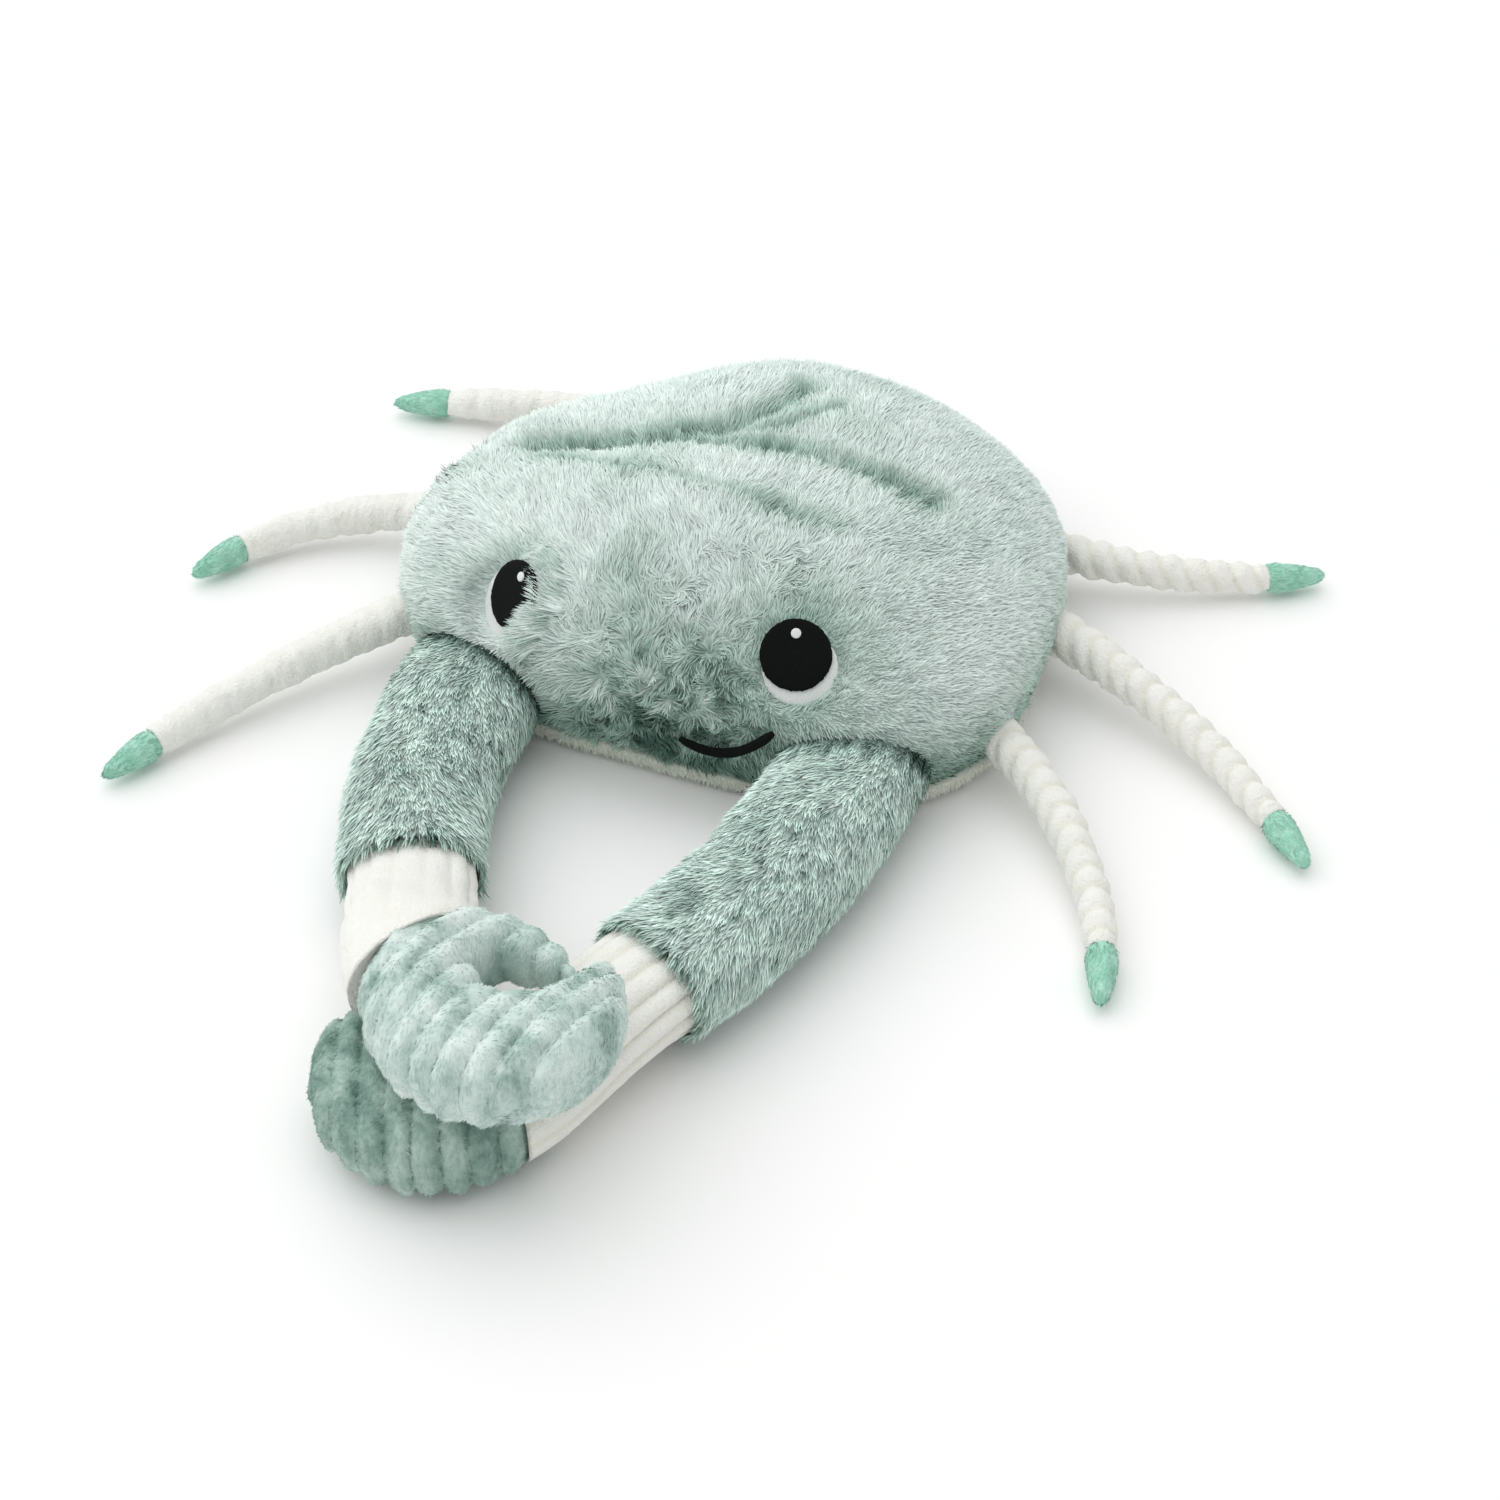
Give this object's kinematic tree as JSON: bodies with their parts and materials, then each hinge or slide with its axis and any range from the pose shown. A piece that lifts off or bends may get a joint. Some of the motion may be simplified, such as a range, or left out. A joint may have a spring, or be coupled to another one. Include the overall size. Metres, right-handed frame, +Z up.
{
  "type": "plush crab",
  "caption": "Large stuffed crab toy with a plush fur body and sleeves, ribbed hooked claws, wide-wale legs with velour tips, embroidered eyes and a stitched smile.",
  "frame": {"origin": "middle of the belly's flat underside, on the floor", "axes": "+Z up, the crab faces -Y, its own left is +X"},
  "size_m": [0.5189, 0.4923, 0.093],
  "materials": {
    "shell_plush": "grey-green short fur with paler tips",
    "belly_plush": "off-white short pile",
    "wide_wale": "cream wide-wale plush",
    "claw_plush": "grey-green ribbed velour plush",
    "tip_velour": "mint velour",
    "black_thread": "black satin-stitch embroidery",
    "white_thread": "white satin-stitch embroidery"
  },
  "bodies": {
    "root": {"carapace": "shell_plush", "belly": "belly_plush", "sleeve_left": "shell_plush", "sleeve_right": "shell_plush", "forearm_left": "wide_wale", "forearm_right": "wide_wale", "claw_left": "claw_plush", "claw_right": "claw_plush", "eye_white_left": "white_thread", "eye_white_right": "white_thread", "eye_pupil_left": "black_thread", "eye_pupil_right": "black_thread", "eye_glint_left": "white_thread", "eye_glint_right": "white_thread", "mouth": "black_thread", "leg_front_left": "wide_wale", "leg_tip_front_left": "tip_velour", "leg_front_right": "wide_wale", "leg_tip_front_right": "tip_velour", "leg_middle_left": "wide_wale", "leg_tip_middle_left": "tip_velour", "leg_middle_right": "wide_wale", "leg_tip_middle_right": "tip_velour", "leg_back_left": "wide_wale", "leg_tip_back_left": "tip_velour", "leg_back_right": "wide_wale", "leg_tip_back_right": "tip_velour"}
  },
  "joints": []
}
